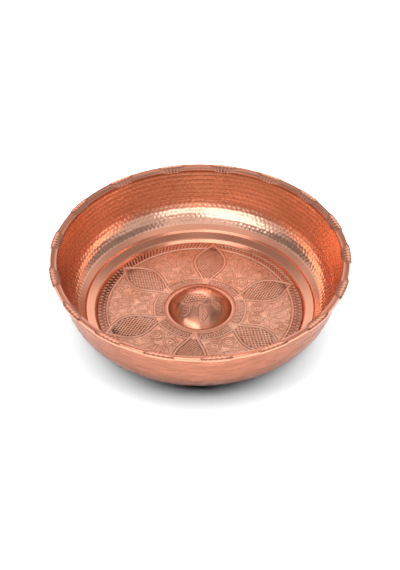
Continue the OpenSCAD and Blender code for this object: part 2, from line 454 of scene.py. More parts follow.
rim_copper, wire, place = new_finish("rim_copper")
tone = noise(wire, place, RIM_CLOUD)
x, _, _ = place.parts()
# The rim is darker on its left and right: painted shade.
rim_dark = RIM_DARK + RIM_SIDE_SHADE * x.absolute().ramp(*RIM_SIDE)
# The flutes and the ends of the panels are darkened with painted shade.
rim_dark = rim_dark + FLUTE_DARK * attribute(wire, "recess")
rim_rough = RIM_ROUGH + RIM_CLOUD_ROUGH * tone
copper(wire, tone, rim_dark, rim_rough, noise(wire, place, RIM_GRAIN), RIM_BUMP)

# %% Chased floor
# On the floor and the boss a recess below 0 marks bright metal, such as a burnished line.
RECESS_DARK, CLOUD_DARK, MATTING_DARK, FRONT_SHADE = 0.92, 0.10, 0.20, 0.28
FLOOR_FRONT = (-0.05, 0.045)
FLOOR_TONE, CLOUD_TONE, BURNISH_TONE = 0.10, 0.40, 0.50
FLOOR_ROUGH, BURNISH_SMOOTH = 0.36, 0.08
FLOOR_CLOUD, FLOOR_MATTING, FLOOR_GRAIN = 60, 520, 1400
CLOUD_EDGE = (0.35, 0.65)
MATTING_EDGE = (0.50, 0.70)
FLOOR_BUMP = 0.05

chased_copper, wire, place = new_finish("chased_copper")
recess = attribute(wire, "recess")
burnish = (0 - recess).most(0)
grain = noise(wire, place, FLOOR_GRAIN, 3)
cloud = noise(wire, place, FLOOR_CLOUD, 3).ramp(*CLOUD_EDGE)
matting = noise(wire, place, FLOOR_MATTING).ramp(*MATTING_EDGE)
_, y, _ = place.parts()
ground = (CLOUD_DARK * (1 - cloud) + MATTING_DARK * matting) * (1 - burnish)
# The floor is darker on its front half, towards the camera: painted shade.
floor_dark = RECESS_DARK * recess.most(0) + ground + FRONT_SHADE * (1 - y.ramp(*FLOOR_FRONT))
floor_tone = FLOOR_TONE + CLOUD_TONE * cloud + BURNISH_TONE * burnish
floor_rough = FLOOR_ROUGH - BURNISH_SMOOTH * burnish
copper(wire, floor_tone, floor_dark, floor_rough, grain, FLOOR_BUMP, (CHASED_WARM, CHASED_PALE))

# %% Engraved boss
CUT_DARK = 0.55
BOSS_TONE, BOSS_LINE_TONE = 0.20, 0.80
BOSS_ROUGH, CUT_ROUGH, SATIN_ROUGH = 0.20, 0.10, 0.20
BOSS_GRAIN = 500
BOSS_BUMP = 0.01

polished_copper, wire, place = new_finish("polished_copper")
recess = attribute(wire, "recess")
boss_tone = BOSS_TONE + BOSS_LINE_TONE * (0 - recess).most(0)
boss_dark = CUT_DARK * recess.most(0)
boss_rough = BOSS_ROUGH + CUT_ROUGH * recess.most(0) + SATIN_ROUGH * attribute(wire, "satin")
grain = noise(wire, place, BOSS_GRAIN)
copper(wire, boss_tone, boss_dark, boss_rough, grain, BOSS_BUMP, (COPPER_WARM, CHASED_PALE))

# %% [markdown]
# ## Sizes of the bowl
# These are the sizes that the maker would set out. What the frame already knows, such as the height
# of the lip and the edge of the floor disc, is measured from its nodes.

# %% Measure the frame and set out the section
SHEET = 1.0
MOUTH_R = 94.2
WALL_SLOPE = math.radians(79)
BEND_SLOPE = math.radians(41)
BEND_R = 30.0
LIP_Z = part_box("rim_band")[0].z / MM
FLOOR_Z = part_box("floor_disc")[0].z / MM
DISC_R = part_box("floor_disc")[1].x / MM
COLLAR_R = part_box("centre_boss")[1].x / MM
BOSS_TOP_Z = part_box("centre_boss")[1].z / MM

STEP_RUN, STEP_RISE = 1.5, 2.9
BAND_W, BAND_RISE = 5.9, 1.3
UPPER_STEP_RUN, UPPER_STEP_RISE = 0.8, 1.6
COVE_W, COVE_RISE = 3.2, 2.2
BEND_Z = FLOOR_Z + STEP_RISE + BAND_RISE + UPPER_STEP_RISE + COVE_RISE

bend_centre_z = BEND_Z + BEND_R * math.cos(BEND_SLOPE)
wall_foot_z = bend_centre_z - BEND_R * math.cos(WALL_SLOPE)
wall_foot_r = MOUTH_R - (LIP_Z - wall_foot_z) / math.tan(WALL_SLOPE)
bend_centre_r = wall_foot_r - BEND_R * math.sin(WALL_SLOPE)
bend_length = BEND_R * (WALL_SLOPE - BEND_SLOPE)
wall_length = bend_length + (LIP_Z - wall_foot_z) / math.sin(WALL_SLOPE)
print(f"hammered wall: {wall_length:.1f} mm along its section, lip at {LIP_Z:.1f} mm")

# %% [markdown]
# ## The hammered wall
# A round hammer leaves a row of shallow dents, and each row is set half a dent along from the last.
# A bump map would lie about the ridges between dents, so the dents are real. Geometry Nodes bend a
# grid round the bowl: its first rows climb the inside, the others come down the outside, and the
# last one closes the sheet. Each inside point then finds its nearest hammer blow, and a round
# hammer face makes the depth fall off with the square of the distance.

# %% A tree with named inputs
SEAM_GAP = 0.005


def new_tree(name, sizes):
    """A geometry tree with one input for each size, and the wires of those inputs."""
    tree = bpy.data.node_groups.new(name, "GeometryNodeTree")
    tree.interface.new_socket("Geometry", in_out="OUTPUT", socket_type="NodeSocketGeometry")
    for size in sizes:
        kind = "NodeSocketMaterial" if size == "Finish" else "NodeSocketFloat"
        tree.interface.new_socket(size, in_out="INPUT", socket_type=kind)
    start = tree.nodes.new("NodeGroupInput")
    return tree, {size: Wire(tree, start.outputs[size]) for size in sizes}


def marked(sheet, name, value):
    """Store a value on the points. It is read from the flat grid, so this comes before the bend."""
    kind = {"data_type": "FLOAT", "domain": "POINT"}
    stored = {0: sheet, "Name": name, "Value": value}
    return sheet.node("GeometryNodeStoreNamedAttribute", kind, stored)


def close_tree(shape, finish):
    """Close the seams, then realize and colour the result."""
    shape = shape.node("GeometryNodeMergeByDistance", values={0: shape, "Distance": SEAM_GAP * MM})
    shape = shape.node("GeometryNodeRealizeInstances", values={0: shape})
    shape = shape.node("GeometryNodeSetMaterial", values={0: shape, "Material": finish})
    shape.node("NodeGroupOutput", values={0: shape})


def grown(name, tree, sizes):
    """Run a tree on a new object and keep its result as a plain mesh."""
    piece = bpy.data.objects.new(name, bpy.data.meshes.new(name))
    bpy.context.scene.collection.objects.link(piece)
    growth = piece.modifiers.new(tree.name, "NODES")
    growth.node_group = tree
    for socket in tree.interface.items_tree:
        if socket.in_out == "INPUT":
            growth[socket.identifier] = sizes[socket.name]
    settled = piece.evaluated_get(bpy.context.evaluated_depsgraph_get())
    mesh = bpy.data.meshes.new_from_object(settled)
    piece.modifiers.remove(growth)
    piece.data = mesh
    return piece


# %% Bend a grid and finish its mesh
SHARP_DEG = 50


def grid(wire, columns, rows):
    """A unit grid, with its share across and its row number as wires."""
    size = {"Size X": 1, "Size Y": 1, "Vertices X": columns + 1, "Vertices Y": rows + 1}
    sheet = wire.node("GeometryNodeMeshGrid", values=size)
    across, along, _ = wire.node("GeometryNodeInputPosition").parts()
    return sheet, across + 0.5, ((along + 0.5) * rows).rounded()


def bent_round(sheet, turn, r, z):
    """Move a grid to the turn, radius and height of its points, from millimetres to metres."""
    place = sheet.vector(r * turn.cosine() * MM, r * turn.sine() * MM, z * MM)
    return sheet.node("GeometryNodeSetPosition", values={0: sheet, "Position": place})


def finish_mesh(mesh):
    """Point all faces outwards, shade them smooth and keep the sharp edges."""
    edit = bmesh.new()
    edit.from_mesh(mesh)
    bmesh.ops.recalc_face_normals(edit, faces=edit.faces)
    open_edges = sum(1 for edge in edit.edges if not edge.is_manifold)
    edit.to_mesh(mesh)
    edit.free()
    mesh.shade_smooth()
    mesh.set_sharp_from_angle(angle=math.radians(SHARP_DEG))
    print(f"{mesh.name}: {len(mesh.polygons)} faces, {open_edges} open edges")


# %% Nearest hammer blow
MARK_ROWS = 12
MARKS_PER_ROW = 160
# High on the wall the blows are a little lighter and longer, with fainter painted shade on the ridges.
HIGH_LIGHTER = 0.10
HIGH_LONGER, HIGH_NARROWER = 0.25, 0.35
# Where painted shade on the ridges between dents starts, how dark it is low, and how much is lost high.
RIDGE_EDGE = (0.65, 1)
RIDGE_LOW, RIDGE_LOST = 0.42, 0.28
print(f"hammer marks: {MARK_ROWS} rows of {MARKS_PER_ROW}")


def nearest_blow(wire, u, here, high, sizes):
    """The square of the distance to the nearest blow, at share u of the turn and row number here."""
    pitch = wall_length / MARK_ROWS
    mark_pitch = 2 * math.pi * wall_foot_r / MARKS_PER_ROW
    squeeze = 1 - HIGH_LONGER * high
    stretch = 1 + HIGH_NARROWER * high
    nearest = None
    for step in (-1, 0, 1):
        row = here.rounded() + step
        shifted = u * MARKS_PER_ROW - 0.5 * (row % 2)
        mark = shifted.rounded()
        blow = wire.vector(mark % MARKS_PER_ROW, row, sizes["Seed"])
        stray = wire.node("ShaderNodeTexWhiteNoise", values={"Vector": blow}, out="Color").parts()
        across = (shifted - mark + sizes["Stray"] * (stray[0] - 0.5)) * mark_pitch
        along = (here - row + sizes["Stray"] * (stray[1] - 0.5)) * pitch
        reach = across * across * squeeze + along * along * stretch + sizes["Uneven"] * (stray[2] - 0.5)
        nearest = reach if nearest is None else nearest.least(reach)
    return nearest


# %% Dents, and painted shade on the ridges and between rows
LINE_WAVE = 0.10
LINE_EDGE = (0.68, 1)
LINE_WEIGHTS = (0.0, 0.9)
FAINTEST_DASH = 0.35
BACK_EDGE = (0.2, 0.8)
FRONT_LINES = 0.4
LINE_DARK = 1.20


def row_lines(wire, u, here, high, sizes):
    """Painted shade in dashes between high rows, each as long as a mark, and stronger at the back."""
    wavy = here + LINE_WAVE * (u * (2 * math.pi * MARKS_PER_ROW)).cosine()
    line = (2 * (wavy - wavy.rounded()).absolute()).ramp(*LINE_EDGE)
    dash = wire.vector((u * MARKS_PER_ROW).rounded(), (wavy - 0.5).rounded(), sizes["Seed"])
    weight = wire.node("ShaderNodeTexWhiteNoise", values={"Vector": dash}).ramp(*LINE_WEIGHTS)
    at_back = (u * (2 * math.pi)).sine().ramp(*BACK_EDGE)
    dashes = line * (FAINTEST_DASH + (1 - FAINTEST_DASH) * weight) * high
    return dashes * (FRONT_LINES + (1 - FRONT_LINES) * at_back)


def hammer_marks(wire, u, s, high, sizes):
    """Hammer dents and the painted shade round them, at share u of the turn and length s up the wall."""
    here = s / (wall_length / MARK_ROWS) - 0.5
    nearest = nearest_blow(wire, u, here, high, sizes)
    dent = (sizes["Dent depth"] - nearest / (2 * sizes["Hammer radius"])).most(0)
    wall_shade = (1 - dent / sizes["Dent depth"]).ramp(*RIDGE_EDGE) * (RIDGE_LOW - RIDGE_LOST * high)
    lines = row_lines(wire, u, here, high, sizes)
    return dent * (1 - HIGH_LIGHTER * high), wall_shade.most(LINE_DARK * lines)


# %% Grow the wall
COLUMNS_PER_MARK = 6
ROWS_PER_MARK = 7
OUTSIDE_ROWS = 10
PLAIN_FOOT = 1.0
PLAIN_TOP = 0.5
HIGH_EDGE = (0.3, 0.6)
# A band of painted shade under the rim, from this far below the lip to this far.
RIM_SHADE_FOOT, RIM_SHADE_TOP = 2.4, 0.4

wall_sizes = {
    "Dent depth": 0.115,
    "Hammer radius": 18.0,
    "Stray": 0.22,
    "Uneven": 0.8,
    "Sheet": SHEET,
    "Seed": 7.0,
    "Finish": hammered_copper,
}
wall_tree, size = new_tree("hammered_wall", wall_sizes)
inside_rows = MARK_ROWS * ROWS_PER_MARK
last_row = inside_rows + OUTSIDE_ROWS + 2
sheet, u, row = grid(size["Sheet"], MARKS_PER_ROW * COLUMNS_PER_MARK, last_row)
is_outside = row.above(inside_rows + 0.5) * (1 - row.above(last_row - 0.5))
is_inside = 1 - row.above(inside_rows + 0.5)
s_inside = row * (wall_length / inside_rows)
s_outside = (inside_rows + 1 + OUTSIDE_ROWS - row) * (wall_length / OUTSIDE_ROWS)
s = is_inside * s_inside + is_outside * s_outside
slope = (BEND_SLOPE + s / BEND_R).least(WALL_SLOPE)
straight = (s - bend_length).most(0)
fade = s.ramp(0, PLAIN_FOOT) * (1 - s.ramp(wall_length - PLAIN_TOP, wall_length))
high = (s / wall_length).ramp(*HIGH_EDGE)
dent, wall_shade = hammer_marks(sheet, u, s, high, size)
dent = dent * fade * is_inside
depth = dent + size["Sheet"] * is_outside
r = bend_centre_r + (BEND_R + depth) * slope.sine() + straight * math.cos(WALL_SLOPE)
z = bend_centre_z - (BEND_R + depth) * slope.cosine() + straight * math.sin(WALL_SLOPE)
# Painted shade under the rim, joined to the painted shade round the dents.
under_rim_shade = s.ramp(wall_length - RIM_SHADE_FOOT, wall_length - RIM_SHADE_TOP)
for name, value in (("inside", is_inside), ("high", high), ("wall_shade", (wall_shade * fade).most(under_rim_shade))):
    sheet = marked(sheet, name, value)
close_tree(bent_round(sheet, u * (2 * math.pi), r, z), size["Finish"])
bowl_wall = grown("bowl_wall", wall_tree, wall_sizes)
finish_mesh(bowl_wall.data)

# %% [markdown]
# ## The stepped base
# Below the hammered wall the sheet was turned: a cove, a small step, a polished band and the step
# round the floor. That is a section spun round the axis. A Screw modifier would do it, but building
# the rings in code keeps the points in order, which the ornament on the floor needs later anyway.

# %% Turn a section
POLE_GAP = 0.002


def turned(name, stations, columns, finish, attributes=None, poles=False):
    """Spin a section into a closed mesh. A station is (r, z), each one value or one per column.

    The last station joins the first, or with poles both lie on the axis and become one point."""
    turn = np.linspace(0, 2 * np.pi, columns, endpoint=False)
    points = []
    for r, z in stations:
        r, z = np.broadcast_to(r, columns), np.broadcast_to(z, columns)
        points.append(np.stack([r * np.cos(turn), r * np.sin(turn), z], axis=1))
    count = len(stations)
    index = np.arange(count * columns).reshape(count, columns)
    lower = index[:-1] if poles else index
    upper = index[1:] if poles else np.roll(index, -1, axis=0)
    right = np.roll(lower, -1, axis=1), np.roll(upper, -1, axis=1)
    quads = np.stack([lower, right[0], right[1], upper], axis=-1).reshape(-1, 4)
    mesh = bpy.data.meshes.new(name)
    mesh.from_pydata((np.concatenate(points) * MM).tolist(), [], quads.tolist())
    for key, values in (attributes or {}).items():
        stored = mesh.attributes.new(key, "FLOAT", "POINT")
        stored.data.foreach_set("value", np.ravel(values).astype(np.float32))
    mesh.materials.append(finish)
    if poles:
        edit = bmesh.new()
        edit.from_mesh(mesh)
        bmesh.ops.remove_doubles(edit, verts=edit.verts, dist=POLE_GAP * MM)
        edit.to_mesh(mesh)
        edit.free()
    finish_mesh(mesh)
    piece = bpy.data.objects.new(name, mesh)
    bpy.context.scene.collection.objects.link(piece)
    return piece


# %% Round a section's corners
CORNER_STEPS = 7


def rounded_line(corners):
    """A line through corners (r, z, radius), with an arc of that radius in place of each corner."""
    line = [Vector(corners[0][:2])]
    for before, corner, after in zip(corners, corners[1:], corners[2:]):
        tip = Vector(corner[:2])
        back = (Vector(before[:2]) - tip).normalized()
        ahead = (Vector(after[:2]) - tip).normalized()
        half = back.angle(ahead) / 2
        reach = corner[2] / math.tan(half)
        middle = tip + (back + ahead).normalized() * corner[2] / math.sin(half)
        first = tip + back * reach - middle
        sweep = first.angle_signed(tip + ahead * reach - middle)
        for i in range(CORNER_STEPS + 1):
            spoke = first.copy()
            spoke.rotate(Matrix.Rotation(-sweep * i / CORNER_STEPS, 2))
            line.append(middle + spoke)
    line.append(Vector(corners[-1][:2]))
    return line


def beside(line, distance):
    """The same line moved to its right-hand side, as the other face of a sheet."""
    moved = []
    for i, point in enumerate(line):
        ahead = (line[min(i + 1, len(line) - 1)] - line[max(i - 1, 0)]).normalized()
        moved.append(point + distance * Vector((ahead.y, -ahead.x)))
    return moved


# %% Turn the base
BASE_COLUMNS = 480
BOSS_R = 21.4
DISC_Z = 1.7
STEP_FOOT_R, STEP_BROW_R = 0.5, 1.5
dome_rise = BOSS_TOP_Z - DISC_Z
dome_r = (BOSS_R**2 + dome_rise**2) / (2 * dome_rise)
dome_centre_z = BOSS_TOP_Z - dome_r
hollow_r = math.sqrt((dome_r - SHEET) ** 2 - (FLOOR_Z - dome_centre_z) ** 2)

bend_start_r = bend_centre_r + BEND_R * math.sin(BEND_SLOPE)
cove_r = bend_start_r - COVE_W
band_r = cove_r - UPPER_STEP_RUN - BAND_W
floor_r = band_r - STEP_RUN
base_section = rounded_line([
    (hollow_r, FLOOR_Z, 0),
    (floor_r, FLOOR_Z, STEP_FOOT_R),
    (band_r, FLOOR_Z + STEP_RISE, STEP_BROW_R),
    (band_r + BAND_W, FLOOR_Z + STEP_RISE + BAND_RISE, STEP_FOOT_R),
    (cove_r, BEND_Z - COVE_RISE, STEP_BROW_R),
    (bend_start_r, BEND_Z, 0),
])
underside = beside(base_section, SHEET)
base_loop = base_section + underside[::-1]
bowl_base = turned("bowl_base", [tuple(p) for p in base_loop], BASE_COLUMNS, polished_steps)

# %% [markdown]
# ## The rim
# Seventeen fluted panels alternate with plain troughs. Both are the same strip of metal, so the rim
# is one grid whose section changes on its way round: a mask says fluted or plain, and the two
# sections are mixed by it. The panels were set out by hand, and the drift of that hand is a sine
# and a cosine.

# %% Set out the panels
PANELS = 17
PANEL_TURN = 105.6
PANEL_DRIFT = 2.6
PANEL_SWAY = 1.7
DEG = math.pi / 180


def panel_middle(even):
    """Where the hand set a panel that would stand at this even turn, in degrees."""
    return even - PANEL_DRIFT * (even * DEG).sine() + PANEL_SWAY * (even * (2 * DEG)).cosine()


def from_panel_middle(turn):
    """Degrees from the middle of the nearest panel. The drift is small, so three tries find it."""
    even = turn
    for _ in range(3):
        even = turn - panel_middle(even) + even
    pitch = 360 / PANELS
    number = ((even - PANEL_TURN) / pitch).rounded()
    return turn - panel_middle(number * pitch + PANEL_TURN)


print(f"panels: one in every {360 / PANELS:.1f} degrees")

# %% Flutes of the panels
RIM_COLUMNS_PER_PANEL = 80
TOP_ROWS = 32
UNDER_ROWS = 8
# Draws the rows together towards both edges, where the section bends most.
EDGE_ROWS = 0.1
# How softly a panel ends, as shares of its width, and how much of that lies past its end.
PANEL_END, PANEL_END_INNER = 0.16, 0.05
PANEL_END_OUT = 0.6
RIB_ROUND = 0.7
FLUTE_PLAIN, FLUTE_REACH, FLUTE_FALL = 0.25, 0.65, 0.7
FLUTE_OUTER, FLUTE_OUTER_FROM = 0.3, 0.75
SEAM_INNER = 0.15

rim_sizes = {
    "Panel width": 9.5,
    "Panel flare": 0.22,
    "Panel crown": 0.75,
    "Trough dip": 0.45,
    "Ribs": 6.0,
    "Rib height": 0.6,
    "Edge thickness": 1.0,
    "Finish": rim_copper,
}
rim_tree, size = new_tree("fluted_rim", rim_sizes)
rows = TOP_ROWS + UNDER_ROWS + 1
sheet, u, row = grid(size["Ribs"], PANELS * RIM_COLUMNS_PER_PANEL, rows + 1)
is_under = row.above(TOP_ROWS + 0.5) * (1 - row.above(rows + 0.5))
is_top = 1 - row.above(TOP_ROWS + 0.5)
share = is_top * row / TOP_ROWS + is_under * (rows - row) / UNDER_ROWS
t = share - EDGE_ROWS * (share * (2 * math.pi)).sine()

off = from_panel_middle(u * 360) / size["Panel width"]
half = 0.5 + size["Panel flare"] * (t - 0.5)
end = PANEL_END + PANEL_END_INNER * (1 - t) * (1 - t)
fluted = 1 - off.absolute().ramp(half - end, half + PANEL_END_OUT * end)
rib = ((off / (2 * half) + 0.5) * size["Ribs"] * math.pi).sine().absolute() ** RIB_ROUND
from_inner = (1 - FLUTE_PLAIN) * (1 - t / FLUTE_REACH).most(0) ** FLUTE_FALL
from_outer = FLUTE_OUTER * ((t - FLUTE_OUTER_FROM) / (1 - FLUTE_OUTER_FROM)).most(0)
groove = fluted * (1 - rib) * (FLUTE_PLAIN + from_inner + from_outer)
seam = 4 * fluted * (1 - fluted) * (SEAM_INNER + (1 - SEAM_INNER) * t)

# %% Sections of panel and trough
# A section starts at a radius and a height over the lip, and runs out and rises from there.
PANEL_R, PANEL_RUN = 93.0, 6.7
PANEL_Z, PANEL_RISE = 0.5, 1.6
TROUGH_RUN = 4.7
TROUGH_Z, TROUGH_RISE = 0.9, 2.4
BROW_Z, BROW_FALL, BROW_FROM = 2.62, 7.4, 0.86
FLUTE_IN, FLUTE_TURN = 0.45, 0.8
OUTER_ROLL_W, OUTER_ROLL_FLUTED_W, INNER_ROLL_W = 0.08, 0.02, 0.07
OUTER_ROLL, OUTER_ROLL_FLUTED, INNER_ROLL = 0.2, 0.25, 0.45
SEAM_DEPTH, SEAM_DARK = 0.05, 0.45
FLUTE_SHADE, FLUTE_SHADE_LOST = 1.1, 0.7
LIP_EDGE = (95.4, 97.4)

bow = 4 * t * (1 - t)
r_fluted = PANEL_R + PANEL_RUN * t + groove * (FLUTE_IN - FLUTE_TURN * t)
z_fluted = PANEL_Z + PANEL_RISE * t + size["Panel crown"] * bow - size["Rib height"] * groove
r_plain = MOUTH_R + TROUGH_RUN * t
z_plain = TROUGH_Z + TROUGH_RISE * t - size["Trough dip"] * bow
z_plain = z_plain.least(BROW_Z - BROW_FALL * (t - BROW_FROM))
r = r_plain + fluted * (r_fluted - r_plain)
roll_w = OUTER_ROLL_W + OUTER_ROLL_FLUTED_W * fluted
to_outer = ((t - 1 + roll_w) / roll_w).most(0)
to_inner = ((INNER_ROLL_W - t) / INNER_ROLL_W).most(0)
outer_roll = (OUTER_ROLL + OUTER_ROLL_FLUTED * fluted) * (1 - (1 - to_outer * to_outer) ** 0.5)
inner_roll = INNER_ROLL * (1 - (1 - to_inner * to_inner) ** 0.5)
z_top = z_plain + fluted * (z_fluted - z_plain) - outer_roll - inner_roll - SEAM_DEPTH * seam
z_under = (z_top - size["Edge thickness"]) * r.ramp(*LIP_EDGE)
z = LIP_Z + (1 - is_under) * z_top + is_under * z_under
# Painted shade in the grooves between the ribs and at the ends of the panels.
recess = (groove * (FLUTE_SHADE - FLUTE_SHADE_LOST * t)).most(SEAM_DARK * seam) * is_top
sheet = marked(sheet, "recess", recess)
close_tree(bent_round(sheet, u * (2 * math.pi), r, z), size["Finish"])
rim_band = grown("rim_band", rim_tree, rim_sizes)
finish_mesh(rim_band.data)

# %% [markdown]
# ## The chased floor
# Chasing pushes metal down beside a line and leaves the line standing. Here each ornament is a
# distance: how far a point lies from the nearest petal edge, scroll or fret line. A height and a
# dark recess follow from the same distance, so relief and patina always agree; in the grooves beside
# the raised lines the dark is also painted shade. The floor is cut in three rings at its raised
# lines, because the fine fret and border need closer points than the petals do.

# %% Lines and fields as distances
PETALS = 6
PETAL_TURN = 21.7
PETAL_HALF = 13.3
PETAL_OGEE = 1.25
PETAL_LEAN = 1.2
PROBE = 0.1
LINE_W = 1.3
LINE_OVER = 0.4
RELIEF = 0.35
PETAL_ROOT_R = 18.2
PETAL_TIP_R = DISC_R - LINE_W / 2
FRET_BAND_W, BORDER_BAND_W = 6.4, 6.0
FRET_R = COLLAR_R + FRET_BAND_W
BORDER_R = DISC_R - BORDER_BAND_W


def smooth(low, high, x):
    share = np.clip((x - low) / (high - low), 0, 1)
    return share * share * (3 - 2 * share)


def cord_line(distance, width):
    """Height from 0 to 1 of a round raised or sunk line."""
    return np.sqrt(np.clip(1 - (2 * distance / width) ** 2, 0, 1))


def off_from(turn, first, count):
    """Degrees from the nearest of some even spokes, and the number of that spoke."""
    pitch = 360 / count
    number = np.round((turn - first) / pitch)
    return turn - first - number * pitch, number.astype(int) % count


def flat_place(r, turn):
    """The x and y of a radius and a turn in degrees."""
    return r * np.cos(np.radians(turn)), r * np.sin(np.radians(turn))


def petal_half(r):
    share = np.clip((r - PETAL_ROOT_R) / (PETAL_TIP_R - PETAL_ROOT_R), 0, 1)
    return np.radians(PETAL_HALF) * np.sin(np.pi * share**PETAL_LEAN) ** PETAL_OGEE


def petal_distance(r, off):
    """Millimetres outside the edge of a petal, negative within it."""
    lean = r * (petal_half(r + PROBE) - petal_half(r - PROBE)) / (2 * PROBE)
    return r * (np.radians(np.abs(off)) - petal_half(r)) / np.sqrt(1 + lean**2)


def on_petals(turn):
    """Degrees from the nearest petal and from the nearest gap, and the numbers of both."""
    off, petal = off_from(turn, PETAL_TURN, PETALS)
    between, gap = off_from(turn, PETAL_TURN + 180 / PETALS, PETALS)
    return off, between, petal, gap


def petal_line(out):
    """The raised line along the edge of a petal."""
    return cord_line(out + LINE_W / 2, LINE_W)


def raised_ring(r, ring_r, out):
    """A raised ring that stops at the petals."""
    return cord_line(r - ring_r, LINE_W) * smooth(-LINE_W, LINE_OVER, out)


def nearest_line(x, pitch):
    """Distance to the nearest of some even lines."""
    return np.abs(x - pitch * np.round(x / pitch))


print(f"petals: {PETALS}, from {PETAL_ROOT_R:.1f} to {PETAL_TIP_R:.1f} mm")

# %% Hatching, scrolls, leaves and dots
HATCH_PITCHES = (2.5, 2.6, 2.6, 2.8, 2.4, 3.2)
HATCH_SLANT = 1.15
HATCH_PIT = (0.10, 0.34)
COIL_W, COIL_EYE, COIL_GAP = 0.6, 0.6, 0.5
RING_W = 0.8
LEAF_W, MIDRIB_W, MIDRIB_DEPTH = 0.7, 0.5, 0.8
LEAF_ROUND = 0.8
DOT_STRAY = 0.32
STRAY_WAVES = ((12.99, 78.23), (39.35, 11.14))


def hatch(r, off, petal):
    """Pits between crossed raised lines in a petal. Each petal has a pitch of its own."""
    pitch = np.array(HATCH_PITCHES)[petal]
    x, y = flat_place(r, off)
    rising = nearest_line(x + HATCH_SLANT * y, pitch)
    falling = nearest_line(x - HATCH_SLANT * y, pitch)
    return smooth(*HATCH_PIT, np.minimum(rising, falling) / pitch)


def scroll(x, y, radius, coils):
    """A sunk spiral inside a ring."""
    rho, psi = np.hypot(x, y), np.arctan2(y, x)
    pitch = radius / coils
    coil = nearest_line(rho - pitch * psi / (2 * np.pi), pitch)
    inner = cord_line(coil, COIL_W) * (rho < radius - COIL_GAP) * (rho > COIL_EYE)
    return np.maximum(inner, cord_line(rho - radius, RING_W))


def leaf(x, y, length, half):
    """A sunk outline of a pointed leaf from the origin along x, with a midrib."""
    share = np.clip(x / length, 0, 1)
    edge = half * np.sin(np.pi * share) ** LEAF_ROUND
    line = np.maximum(cord_line(np.abs(y) - edge, LEAF_W), MIDRIB_DEPTH * cord_line(y, MIDRIB_W))
    return line * (x > 0) * (x < length)


def turned_to(x, y, start, angle_deg):
    """The same points, measured from a start point and along a direction."""
    angle = math.radians(angle_deg)
    x, y = x - start[0], y - start[1]
    return x * math.cos(angle) + y * math.sin(angle), y * math.cos(angle) - x * math.sin(angle)


def stipple(x, y, pitch, width):
    """Punched dots on a grid that an unsteady hand set out."""
    i, j = np.round(x / pitch), np.round(y / pitch)
    stray = [DOT_STRAY * pitch * np.sin(i * across + j * along) for across, along in STRAY_WAVES]
    return cord_line(np.hypot(x - pitch * i - stray[0], y - pitch * j - stray[1]), width)


# %% Scrolls between the petals
MEDALLION = (38.6, 5.4)
MEDALLION_R, MEDALLION_SCROLL_R, MEDALLION_COILS = 4.8, 3.4, 2.0
# A leaf is its root, direction in degrees, length and half width. A curl is its middle and radius.
LEAVES = (
    ((45.5, 0.0), 0, 14.5, 2.4),
    ((46.0, 1.5), 33, 13.0, 2.1),
    ((44.5, 3.5), 66, 9.5, 1.7),
    ((52.5, 12.5), 62, 7.5, 1.8),
    ((56.0, 6.0), 80, 5.5, 1.4),
)
CURLS = (((57.6, 12.0), 2.7), ((60.4, 4.6), 1.5), ((57.0, 18.0), 2.0), ((33.6, 0.0), 1.2))
CURL_COILS = 1.6
FRAME_OFF, FRAME_W = 2.4, 0.6
FRAME_FROM = (33, 36)
LAPPET_PITCH, LAPPET_R, LAPPET_RISE, LAPPET_W = 2.6, 1.1, 1.0, 0.6
DOT_PITCH, DOT_W = 1.7, 0.9
DOTS_FROM = (42, 46)
SCROLL_DEPTH, FRAME_DEPTH, LAPPET_DEPTH, DOT_DEPTH = 0.65, 0.5, 0.8, 0.55


def spandrel(r, off, out):
    """Sunk lines in the field between two petals: medallions, a fan of leaves and curls."""
    x, y = flat_place(r, off)
    aside = np.abs(y)
    from_medallion = x - MEDALLION[0], aside - MEDALLION[1]
    marks = scroll(*from_medallion, MEDALLION_SCROLL_R, MEDALLION_COILS)
    marks = np.maximum(marks, cord_line(np.hypot(*from_medallion) - MEDALLION_R, RING_W))
    for root, angle, length, half in LEAVES:
        marks = np.maximum(marks, leaf(*turned_to(x, aside, root, angle), length, half))
    for (place_x, place_y), radius in CURLS:
        marks = np.maximum(marks, scroll(x - place_x, aside - place_y, radius, CURL_COILS))
    lappet_x = nearest_line(np.radians(off) * FRET_R, LAPPET_PITCH)
    lappet = np.hypot(lappet_x, r - FRET_R - LAPPET_RISE) - LAPPET_R
    lappets = LAPPET_DEPTH * cord_line(lappet, LAPPET_W) * (r > FRET_R + LAPPET_RISE)
    frame_line = FRAME_DEPTH * cord_line(out - FRAME_OFF, FRAME_W) * smooth(*FRAME_FROM, r)
    dots = DOT_DEPTH * stipple(x, y, DOT_PITCH, DOT_W) * smooth(*DOTS_FROM, r)
    return np.maximum(np.maximum(SCROLL_DEPTH * np.maximum(marks, lappets), frame_line), dots)


# %% Ring of petals
HATCH_DARK = (0.90, 0.80, 0.90, 0.88, 0.80, 0.72)
ROOT_SHADE, TIP_SHADE = 0.65, 0.45
TIP_FROM = (44, 66)
TIP_DARK = 0.72
TIP_DARK_FROM = (57, 64)
GROOVE_W, GROOVE_OUTSIDE, GROOVE_INSIDE = 1.1, 0.5, 0.4
RING_GROOVE_W, RING_GROOVE_OFF = 0.9, 1.1
PETAL_FIELD = (-LINE_W - 0.3, -LINE_W - 0.9)
SPANDREL_FIELD = (0.8, 1.6)
FIELD_DEPTH, GROOVE_DEPTH = 0.28, 0.1
SPANDREL_DARK, GROOVE_SHADE = 0.42, 0.42


